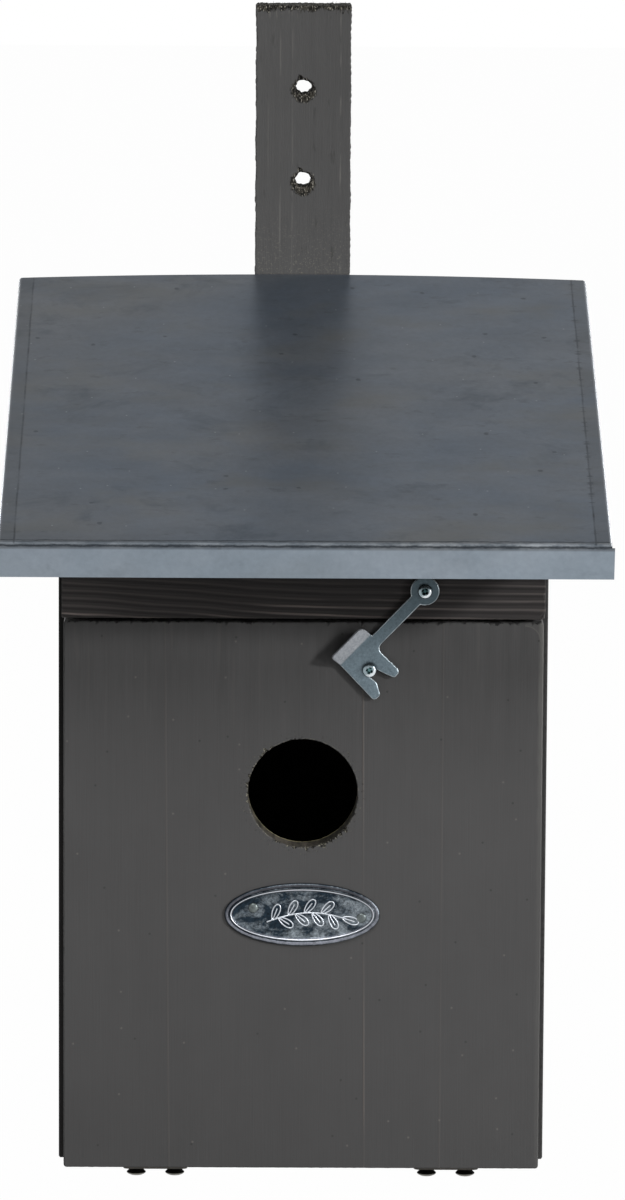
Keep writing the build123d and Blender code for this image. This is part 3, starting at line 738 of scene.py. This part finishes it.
def cross_recess(mesh, reach, depth, top):
    """Cuts a cross recess into a head whose top is at the given height."""
    drawn = linked("recess_work", mesh)
    for turn in (0, pi / 2):
        bm = bmesh.new()
        aim = Matrix.Rotation(turn + OFF_SEAM, 3, "Z")
        rows = []
        for height, share in ((top + 0.5 * MM, 1.15), (top - depth, 0.3)):
            spots = [Vector((u * reach * share, v * RECESS_WIDTH / 2, height)) for u, v in SQUARE]
            for spot in spots:
                spot.rotate(aim)
            rows.append([bm.verts.new(spot) for spot in spots])
        bm.faces.new(rows[0][::-1])
        bm.faces.new(rows[1])
        band(bm, rows)
        cutter = linked("cutter", mesh_from("cutter", bm))
        cut = drawn.modifiers.new("cut", "BOOLEAN")
        cut.operation, cut.solver, cut.object = "DIFFERENCE", "EXACT", cutter
        result = shown_mesh(drawn)
        drawn.modifiers.clear()
        drawn.data = result
        bpy.data.objects.remove(cutter)
    bpy.data.objects.remove(drawn)
    return result


def countersunk_mesh(radius, length, dome=0.0):
    """A countersunk screw, its head's rim at the origin and its point down -Z."""
    cone = radius - SCREW_SHANK_R
    crown = ((0, 1), (0.35, 0.92), (0.68, 0.62), (0.9, 0.2))
    profile = [(radius * reach, dome * rise) for reach, rise in crown]
    profile += [(radius, -0.12 * MM), (radius, -SCREW_RIM), (SCREW_SHANK_R, -SCREW_RIM - cone)]
    profile += [(SCREW_SHANK_R, 2 * SCREW_SHANK_R - length), (0, -length)]
    return cross_recess(mesh_from("countersunk", turned(profile)), radius * 0.56, 1.3 * MM, dome)


def pan_mesh(radius, height, shank_r, length):
    """A pan-head screw, the underside of its head at the origin and its point down -Z."""
    profile = [(0, height)]
    for t in turns(36)[1:9]:
        profile.append((radius * sin(t) ** 0.85, height * (0.3 + 0.7 * cos(t) ** 0.8)))
    profile += [(radius, height * 0.3), (radius * 0.97, 0.0)]
    profile += [(shank_r, 0.0), (shank_r, -length), (0, -length - shank_r)]
    return cross_recess(mesh_from("pan", turned(profile)), radius * 0.6, 1.1 * MM, height)


def place_all(name, template, spots, finish, body, node, seed):
    """One piece with a screw at each (place, outward), each turned by its own angle."""
    spins = random.Random(seed)
    bm = bmesh.new()
    for place, outward in spots:
        aim = outward.to_track_quat("Z", "Y").to_matrix().to_4x4()
        spin = Matrix.Rotation(spins.uniform(0, pi / 2), 4, "Z")
        placed = template.copy()
        placed.transform(Matrix.Translation(place) @ aim @ spin)
        bm.from_mesh(placed)
        bpy.data.meshes.remove(placed)
    piece_from(name, bm, 35, finish, body, "steel_hardware", node)


def screws():
    """Screws with cross recesses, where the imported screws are."""
    flat = countersunk_mesh(3.0 * MM, 12 * MM)
    hinge = countersunk_mesh(2.85 * MM, 10 * MM, 0.75 * MM)
    pan = pan_mesh(2.1 * MM, PAN_HEIGHT, 1.1 * MM, 8 * MM)
    flanks = []
    for side in (LEFT, RIGHT):
        flanks += [spot for spot in head_spots("floor_screws", side) if spot[0].dot(side) > 0]
    pivot, keeper = "latch_pivot_screw", "latch_keeper_screw"
    groups = (
        ("back_wall_screws", flat, (BACK,), "bright", "box", 1),
        ("batten_screws", flat, (BACK,), "bright", "box", 2),
        ("hinge_door_screws", hinge, (DOWN, HINGE_PROUD), "hinge_screw", "door", 3),
        ("hinge_floor_screws", hinge, (DOWN, HINGE_PROUD), "hinge_screw", "box", 4),
        ("floor_screws", flat, None, "bright", "box", 9),
        (pivot, pan, (FRONT, -PAN_HEIGHT), pivot, "box", 5),
        (keeper, pan, (FRONT, -PAN_HEIGHT), keeper, "door", 6),
    )
    for node, template, facing, finish, body, seed in groups:
        spots = head_spots(node, *facing) if facing else flanks
        place_all(node + "_driven", template, spots, finish, body, node, seed)


def rounded_latch():
    """The latch hook with its sharp edges rounded."""
    bm = merged("latch_hook")
    creases = [edge for edge in bm.edges if len(edge.link_faces) == 2]
    sharp = [edge for edge in creases if edge.calc_face_angle(0) > radians(35)]
    shape = {"segments": 3, "profile": 0.5, "affect": "EDGES", "clamp_overlap": False}
    bmesh.ops.bevel(bm, geom=sharp, offset=LATCH_ROUNDING, **shape)
    piece_from("latch_hook_rounded", bm, 50, "latch", "latch", "zinc_plate", "latch_hook")


def sliced(node, cuts):
    """A copy of a CAD node, cut along planes given as (axis, first, last, step)."""
    bm = merged(node)
    for axis, first, last, step in cuts:
        for i in range(1, round((last - first) / step)):
            spot, normal = [0, 0, 0], [0, 0, 0]
            spot[axis], normal[axis] = first + i * step, 1
            parts = bm.verts[:] + bm.edges[:] + bm.faces[:]
            bmesh.ops.bisect_plane(bm, geom=parts, plane_co=spot, plane_no=normal, dist=WELD)
    return bm


def rough(u, v, per_mm, seed):
    """Noise from -1 to 1 at a place on a board."""
    return noise.noise(Vector((u / MM * per_mm, v / MM * per_mm, seed)))


def chip(u, v, size, limit, per_mm, seed):
    """Chips of up to a size where the noise passes a limit."""
    return size * max(0.0, rough(u, v, per_mm, seed) - limit) / (1 - limit)


def sawn_side(node, seed):
    """A side board whose front edge the saw left ragged."""
    low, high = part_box(node)
    outer = max(low.x, high.x, key=abs)
    bm = sliced(node, [(2, low.z, high.z, 0.8 * MM)])
    for vertex in bm.verts:
        u, w, v = vertex.co
        if w < low.y + WELD and abs(u - outer) < WELD:
            bite = abs(rough(seed * MM, v, 0.9, seed))
            bite += 0.5 * abs(rough(seed * MM, v, 2.3, seed + 1))
            vertex.co.x -= copysign(0.9 * MM * bite, outer)
            vertex.co.y += 0.4 * MM * bite
    piece_from(node + "_sawn", bm, 30, "side", "box", "stained_board", node)


def crowned_sheet():
    """The roof sheet, a little off its board at the middle of its back edge."""
    low, high = SHEET_LOW, SHEET_HIGH
    bm = sliced("roof_sheet", [(0, low.x, high.x, 8 * MM), (1, low.y, high.y, 12 * MM)])
    for vertex in bm.verts:
        u, w, _ = vertex.co
        back = (w - low.y) / (high.y - low.y)
        vertex.co.z += SHEET_CROWN * (1 - (u / high.x) ** 2) * back ** 2
    piece_from("crowned_sheet", bm, 6, "sheet", "box", "roof_zinc", "roof_sheet")


# Boards with worn edges

def corner_loop(low_u, low_v, high_u, high_v, radius):
    """Points round a rounded rectangle, each with its way out of the wood."""
    corners = [(low_u, low_v), (high_u, low_v), (high_u, high_v), (low_u, high_v)]
    outward = [Vector((0, -1)), Vector((1, 0)), Vector((0, 1)), Vector((-1, 0))]
    arc = 4
    loop = []
    for i in range(4):
        before, after = outward[i - 1], outward[i]
        start = Vector(corners[i])
        centre = start - radius * (before + after)
        for k in range(arc + 1):
            t = pi / 2 * k / arc
            normal = before * cos(t) + after * sin(t)
            loop.append((*(centre + radius * normal), *normal))
        run = Vector(corners[(i + 1) % 4]) - start
        along = run.normalized()
        count = max(2, round(run.length / EDGE_STEP))
        for k in range(1, count):
            t = k / count * run.length
            if radius < t < run.length - radius:
                loop.append((*(start + along * t), *after))
    return loop


def round_loop(centre_u, centre_v, radius, count):
    """Points round a hole, each with its way out of the wood."""
    loop = []
    for t in turns(count):
        u, v = cos(t), sin(t)
        loop.append((centre_u + radius * u, centre_v + radius * v, -u, -v))
    return loop


def within(spot, outline):
    """Whether a flat spot lies inside a closed outline."""
    inside = False
    for i, a in enumerate(outline):
        b = outline[i - 1]
        if (a.y > spot.y) != (b.y > spot.y):
            if spot.x < a.x + (b.x - a.x) * (spot.y - a.y) / (b.y - a.y):
                inside = not inside
    return inside


def cap(bm, rows):
    """Closes a board's face between its outline and its holes."""
    corners = [vertex for row in rows for vertex in row]
    flat = [Vector((vertex.co.x, vertex.co.z)) for vertex in corners]
    edges, outlines = [], []
    for row in rows:
        first, count = len(edges), len(row)
        edges += [(first + i, first + (i + 1) % count) for i in range(count)]
        outlines.append(flat[first:first + count])
    inside_outline = 1
    found = geometry.delaunay_2d_cdt(flat, edges, [], inside_outline, WELD)
    spots, _, faces, origins = found[:4]
    depth = corners[0].co.y
    placed = []
    for spot, origin in zip(spots, origins):
        placed.append(corners[origin[0]] if origin else bm.verts.new((spot.x, depth, spot.y)))
    for face in faces:
        centre = sum((Vector(spots[i]) for i in face), Vector((0, 0))) / len(face)
        used = list(dict.fromkeys(placed[i] for i in face))
        in_hole = any(within(centre, hole) for hole in outlines[1:])
        if len(used) > 2 and not in_hole and not bm.faces.get(used):
            bm.faces.new(used)


def side_rows(worn):
    """(inset, depth) of each row of corners along a board's side, from its front to its back."""
    front = ((worn, 0.0), (worn * 0.3, worn * 0.35), (0.0, worn))
    middle = ((0.0, BOARD * 0.35), (0.0, BOARD * 0.72), (0.0, BOARD - REAR_ARRIS))
    return (*front, *middle, (REAR_ARRIS, BOARD))


def worn_board(name, loops, place, *role):
    """A board from its outline and holes. Each loop is (points, arris, wall): arris(u, v) is how
    far the edge is worn there, and wall(u, v, depth) moves its side in or out."""
    bm = bmesh.new()
    front, back = [], []
    for points, arris, wall in loops:
        rows = []
        for level in zip(*(side_rows(arris(u, v)) for u, v, _, _ in points)):
            row = []
            for (u, v, nu, nv), (inset, depth) in zip(points, level):
                inset -= wall(u, v, depth)
                row.append(bm.verts.new(place(u - nu * inset, v - nv * inset, depth)))
            rows.append(row)
        band(bm, rows)
        front.append(rows[0])
        back.append(rows[-1])
    cap(bm, front)
    cap(bm, back)
    piece_from(name, bm, 20, *role)


def door_board():
    """The door with a chipped top edge, worn arrises and a ragged entrance."""
    low, high = DOOR_LOW, DOOR_HIGH

    def edge(u, v):
        worn = 0.35 * MM + 0.1 * MM * rough(u, v, 0.8, 3)
        if v > high.z - END_BAND:
            inward = min(1.0, (high.x - abs(u)) / (2.5 * MM))
            chipped = chip(u, v, 1.9 * MM, 0.2, 0.5, 7) + 0.3 * MM * abs(rough(u, v, 1.6, 9))
            worn += inward * chipped
        return worn

    def side(u, v, depth):
        return 0.05 * MM * rough(u + depth, v, 0.7, 5)

    def torn(u, v):
        """How torn the drill left the rim: most at its upper left and lower right."""
        turn = degrees(atan2(v - ENTRANCE.z, u - ENTRANCE.x)) % 360
        return 0.1 + exp(-((turn - 145) / 38) ** 2) + exp(-((turn - 295) / 45) ** 2)

    def rim(u, v):
        frayed = 0.12 * MM + 0.15 * MM * abs(rough(u, v, 1.1, 11))
        return frayed + torn(u, v) * (chip(u, v, 2.7 * MM, 0.0, 1.3, 13) + 0.25 * MM)

    def bore(u, v, depth):
        if depth > BOARD * 0.8:
            return -1.1 * MM + 0.3 * MM * rough(u, v, 0.8, 19)
        return -0.25 * MM + 0.12 * MM * rough(u, v + depth * 0.3, 0.9, 17)

    loops = [
        (corner_loop(low.x, low.z, high.x, high.z, 0.9 * MM), edge, side),
        (round_loop(ENTRANCE.x, ENTRANCE.z, ENTRANCE_R, 230), rim, bore),
    ]
    role = ("door", "door", "stained_board", "door_panel")
    worn_board("door_board", loops, lambda u, v, w: (u, low.y + w, v), *role)


def rail_board():
    """The front rail, its top cut to the roof's slope and its right end chipped."""
    low, right = RAIL_LOW, RAIL_HIGH.x
    slope = tan(ROOF_PITCH)
    high = RAIL_HIGH.z - BOARD * slope
    tall = high - low.z

    def edge(u, v):
        worn = 0.35 * MM + 0.12 * MM * rough(u, v, 0.9, 21)
        if u > right - END_BAND:
            worn += chip(u, v, 2.2 * MM, 0.0, 0.35, 23)
        return worn

    def side(u, v, depth):
        if u > right - END_BAND:
            return -0.35 * MM * abs(rough(depth * 0.5, v, 0.6, 27))
        return 0.04 * MM * rough(u, v, 0.7, 25)

    def place(u, v, w):
        return (u, low.y + w, v + (v - low.z) / tall * w * slope)

    loops = [(corner_loop(low.x, low.z, right, high, 0.4 * MM), edge, side)]
    worn_board("rail_board", loops, place, "rail", "box", "stained_board", "front_rail")


def batten_hole(centre, seed):
    """The loop of one of the batten's holes, torn along its lower rim and nicked above."""

    def below(v):
        return (centre - v) / BATTEN_HOLE_R

    def rim(u, v):
        crater = max(0.0, below(v) - 0.1) * (1.1 + 0.9 * rough(u, v, 0.7, seed)) * MM
        nick = exp(-(((u - BATTEN_HOLES.x) / MM + 1.0) / 0.7) ** 2) * 1.5 * MM
        worn = 0.4 * MM + 0.6 * MM * abs(rough(u, v, 1.5, seed))
        return worn + (nick if v > centre else 0.0) + crater

    def bore(u, v, depth):
        bulge = 0.15 * MM + 0.5 * MM * max(0.0, below(v))
        return bulge + 0.4 * MM * rough(u, v + depth * 0.2, 0.8, seed + 1)

    return round_loop(BATTEN_HOLES.x, centre, BATTEN_HOLE_R, 72), rim, bore


def batten_board():
    """The mounting batten: rough sawn, with a ragged end and two torn holes."""
    low, high = BATTEN_LOW, BATTEN_HIGH

    def edge(u, v):
        worn = 0.4 * MM + 0.3 * MM * rough(u, v, 1.1, 31)
        if v > high.z - END_BAND:
            inward = min(1.0, (high.x - abs(u)) / (2.0 * MM))
            torn = 1.3 * MM * abs(rough(u, v, 0.9, 33)) + chip(u, v, 1.8 * MM, 0.1, 0.8, 35)
            worn += inward * torn
        return worn

    def side(u, v, depth):
        if v > high.z - END_BAND:
            ragged = rough(u, depth, 1.1, 37) + 0.6 * rough(u, depth, 2.6, 38)
            return 0.3 * MM * ragged - 0.45 * MM
        return 0.25 * MM * rough(u, v, 0.12, 39) + 0.3 * MM * rough(u, v, 1.0, 40) - 0.15 * MM

    loops = [(corner_loop(low.x, low.z, high.x, high.z, 0.4 * MM), edge, side)]
    loops += [batten_hole(centre, seed) for centre, seed in zip(HOLE_CENTRES, (43, 47))]
    role = ("batten", "box", "rough_batten", "mounting_batten")
    worn_board("batten_board", loops, lambda u, v, w: (u, low.y + w, v), *role)


def splinters():
    """Fibres that stand up from the batten's sawn end and out of its two holes."""
    draw = random.Random(61)
    bm = bmesh.new()
    low, high = BATTEN_LOW, BATTEN_HIGH

    def blade(root, tip, width):
        along = (tip - root).normalized()
        side = along.cross(Vector((0.3, 1, 0.2))).normalized() * width / 2
        spots = (root + side, root - side, root + along.cross(side))
        base = [bm.verts.new(spot) for spot in spots]
        bm.faces.new(base)
        band(bm, [base, [bm.verts.new(tip)]])

    top = high.z - 0.9 * MM
    for _ in range(260):
        u = draw.uniform(low.x + 0.4 * MM, high.x - 0.4 * MM)
        w = draw.choice((draw.uniform(0.6, 3.0), draw.uniform(0.6, 11.6))) * MM
        root = Vector((u, low.y + w, top - draw.uniform(0.0, 1.2) * MM))
        rise = draw.uniform(0.5, 1.7) * MM
        lean = Vector((draw.uniform(-0.4, 0.4), draw.uniform(-0.3, 0.3), 1)) * rise
        blade(root, root + lean, draw.uniform(0.12, 0.35) * MM)
    for centre in HOLE_CENTRES:
        for _ in range(64):
            t = draw.uniform(pi * 1.05, pi * 1.95)
            w = draw.uniform(0.4, 8.0) * MM
            spot = BATTEN_HOLE_R * Vector((cos(t), 0, sin(t)))
            root = Vector((0, low.y + w, centre)) + spot
            lean = Vector((-cos(t) * 0.5, draw.uniform(-1.0, 0.2), -sin(t)))
            blade(root, root + lean * draw.uniform(0.5, 1.6) * MM, draw.uniform(0.2, 0.5) * MM)
    piece_from("batten_splinters", bm, 20, "batten", "box", "rough_batten")


# Badge

def oval_plate():
    """The oval plate: a rounded rim, a raised bead and a sunk field."""
    half_u = (BADGE_HIGH.x - BADGE_LOW.x) / 2
    half_v = (BADGE_HIGH.z - BADGE_LOW.z) / 2
    profile = (
        (0.0, 0.0), (0.02, 0.3), (0.12, 0.5), (0.3, 0.66), (0.55, 0.78), (0.85, 0.84),
        (1.1, 0.76), (1.26, 0.6), (1.4, 0.54), (1.52, 0.6), (1.66, 1.06), (1.82, 1.27),
        (2.0, 1.24), (2.2, 1.0), (2.34, 0.72), (2.5, 0.6), (3.2, 0.58),
    )
    bm = bmesh.new()
    rows = []
    for inset, height in profile:
        row = []
        for t in turns(160):
            u = BADGE_MIDDLE.x + (half_u - inset * MM) * cos(t)
            v = BADGE_MIDDLE.z + (half_v - inset * MM) * sin(t)
            row.append(bm.verts.new((u, DOOR_LOW.y - height * MM, v)))
        rows.append(row)
    band(bm, rows)
    bm.faces.new(rows[-1])
    bm.faces.new(rows[0][::-1])
    piece_from("oval_plate", bm, 60, "badge", "door", "badge_metal", "badge_plate")


def leaf_sprig():
    """A plain raised sprig of leaves on the plate's field."""
    level = DOOR_LOW.y - 0.62 * MM
    curve = bpy.data.curves.new("sprig", "CURVE")
    curve.dimensions, curve.use_fill_caps = "3D", True
    curve.bevel_depth, curve.bevel_resolution = 0.2 * MM, 2

    def stroke(points, closed=False):
        spline = curve.splines.new("POLY")
        spline.points.add(len(points) - 1)
        for point, (u, v) in zip(spline.points, points):
            point.co = (BADGE_MIDDLE.x + u * MM, level, BADGE_MIDDLE.z + v * MM, 1)
        spline.use_cyclic_u = closed

    def stem(t):
        return (-10.5 + 22.5 * t, -2.4 + 5.2 * sin(pi * (0.15 + 0.6 * t)) - 2.2)

    def leaf(t, side):
        """A leaf's outline and vein, to one side of the stem or, with side 0, along it."""
        (u0, v0), (u1, v1) = stem(t), stem(t + 0.02)
        turn = atan2(v1 - v0, u1 - u0) + side * radians(50)
        du, dv = cos(turn), sin(turn)
        outline = []
        for a in turns(24):
            along = LEAF_LONG * (0.5 - 0.5 * cos(a))
            across = LEAF_WIDE * sin(a) * (1 - 0.25 * cos(a))
            outline.append((u0 + along * du - across * dv, v0 + along * dv + across * du))
        stroke(outline, True)
        stroke([(u0, v0), (u0 + 0.75 * LEAF_LONG * du, v0 + 0.75 * LEAF_LONG * dv)])

    stroke([stem(t / 20) for t in range(21)])
    for t, side in zip((0.08, 0.16, 0.29, 0.38, 0.5, 0.6, 0.72, 0.82), (1, -1) * 4):
        leaf(t, side)
    leaf(1.0, 0)
    drawn = linked("sprig_work", curve)
    mesh = shown_mesh(drawn)
    bpy.data.objects.remove(drawn)
    piece_of("leaf_sprig", mesh, "sprig", "door", "badge_metal")


def pin_heads():
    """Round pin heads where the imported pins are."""
    profile = [(0, PIN_HEIGHT)]
    profile += [(PIN_R * sin(t), PIN_HEIGHT * cos(t)) for t in turns(28)[1:8]]
    foot, shank_r = -0.05 * MM, 0.6 * MM
    profile += [(PIN_R, foot), (shank_r, foot), (shank_r, -7 * MM), (0, -8 * MM)]
    template = mesh_from("pin", turned(profile, 36))
    spots = head_spots("badge_pins", FRONT, -PIN_HEIGHT)
    place_all("pin_heads", template, spots, "pin", "door", "badge_pins", 8)


for name in nodes:
    hinge_leaf = name.startswith("hinge_") and not name.endswith("screws")
    wear(name, "hinge" if hinge_leaf else "bright")
wear("back_wall", "upright")
wear("floor_board", "crosswise")
wear("roof_board", "lengthwise")

sawn_side("side_wall_left", 71)
sawn_side("side_wall_right", 73)
crowned_sheet()
door_board()
rail_board()
batten_board()
splinters()
oval_plate()
leaf_sprig()
pin_heads()
screws()
rounded_latch()


# Studio

def seen_share(tree):
    """1 for the camera's rays, and 1 for those and the rays of reflections and through glass."""
    rays = tree.node("LightPath").outputs
    names = ("Is Camera Ray", "Is Glossy Ray", "Is Transmission Ray")
    camera, *others = (Value(tree, rays[name]) for name in names)
    return camera, tree.most(camera, *others)


def make_world():
    """White to the camera and low in reflections, dimmer above, soft on matt surfaces."""
    world = bpy.data.worlds.new("studio")
    tree = Tree(world, "OutputWorld")
    camera, seen = seen_share(tree)
    place = tree.value("TexCoord", output="Generated")
    rise = tree.value("SeparateXYZ", [place], "Z").span(0.2, 0.8, 1.0, CEILING, smooth=True)
    shown = tree.value("Background", [WHITE, tree.most(rise, camera)])
    soft = tree.value("Background", [WHITE, AMBIENT])
    tree.show(tree.value("MixShader", [seen, soft, shown]))
    bpy.context.scene.world = world


def area_light(name, place, size, power):
    data = bpy.data.lights.new(name, "AREA")
    data.shape, data.size, data.energy = "DISK", size, power
    lamp = linked(name, data)
    lamp.location = place
    lamp.rotation_euler = (LIGHTS_AIM - Vector(place)).to_track_quat("-Z", "Y").to_euler()


def make_floor():
    """A pale floor for the box's shadow. It lies well below, so that the door has room to open
    down, and it isn't seen from underneath."""
    mesh = bpy.data.meshes.new("floor")
    half = FLOOR_SIZE / 2
    mesh.from_pydata([(half * x, half * y, FLOOR_LEVEL) for x, y in SQUARE], [], [(0, 1, 2, 3)])
    floor = linked("floor", mesh)
    material = bpy.data.materials.new("pale_floor")
    tree = Tree(material, "OutputMaterial")
    matt = tree.value("BsdfDiffuse", [[FLOOR_TONE] * 3])
    glow = tree.value("Emission", [WHITE])
    lit = tree.value("MixShader", [seen_share(tree)[1] * FLOOR_GLOW, matt, glow])
    from_below = tree.value("NewGeometry", output="Backfacing")
    clear = tree.value("BsdfTransparent")
    tree.show(tree.value("MixShader", [from_below, lit, clear]))
    mesh.materials.append(material)


def make_camera():
    """The photograph's camera: a long lens, a little above the box and off its middle."""
    data = bpy.data.cameras.new("camera")
    data.sensor_width = SENSOR
    data.lens = FOCAL_PIXELS / PHOTO_HEIGHT * SENSOR
    data.clip_start, data.clip_end = 0.05, 50.0
    camera = linked("camera", data)
    yaw = Matrix.Rotation(-CAMERA_YAW, 4, "Z")
    pitch = Matrix.Rotation(pi / 2 - CAMERA_PITCH, 4, "X")
    roll = Matrix.Rotation(CAMERA_ROLL, 4, "Z")
    back_off = Matrix.Translation((0, 0, CAMERA_DISTANCE))
    camera.matrix_world = Matrix.Translation(CAMERA_TARGET) @ yaw @ pitch @ roll @ back_off
    bpy.context.scene.camera = camera


make_world()
make_floor()
make_camera()
area_light("key", (1.9, -1.2, 0.9), 0.25, 32)
area_light("right", (1.9, -1.3, 0.25), 0.3, 9)
area_light("top", (-0.2, -1.1, 1.9), 1.2, 28)
area_light("back_left", (-1.5, 1.9, 0.5), 0.8, 22)
area_light("back_right", (1.5, 1.9, 0.5), 0.8, 22)
bpy.context.scene.view_settings.view_transform = "Standard"
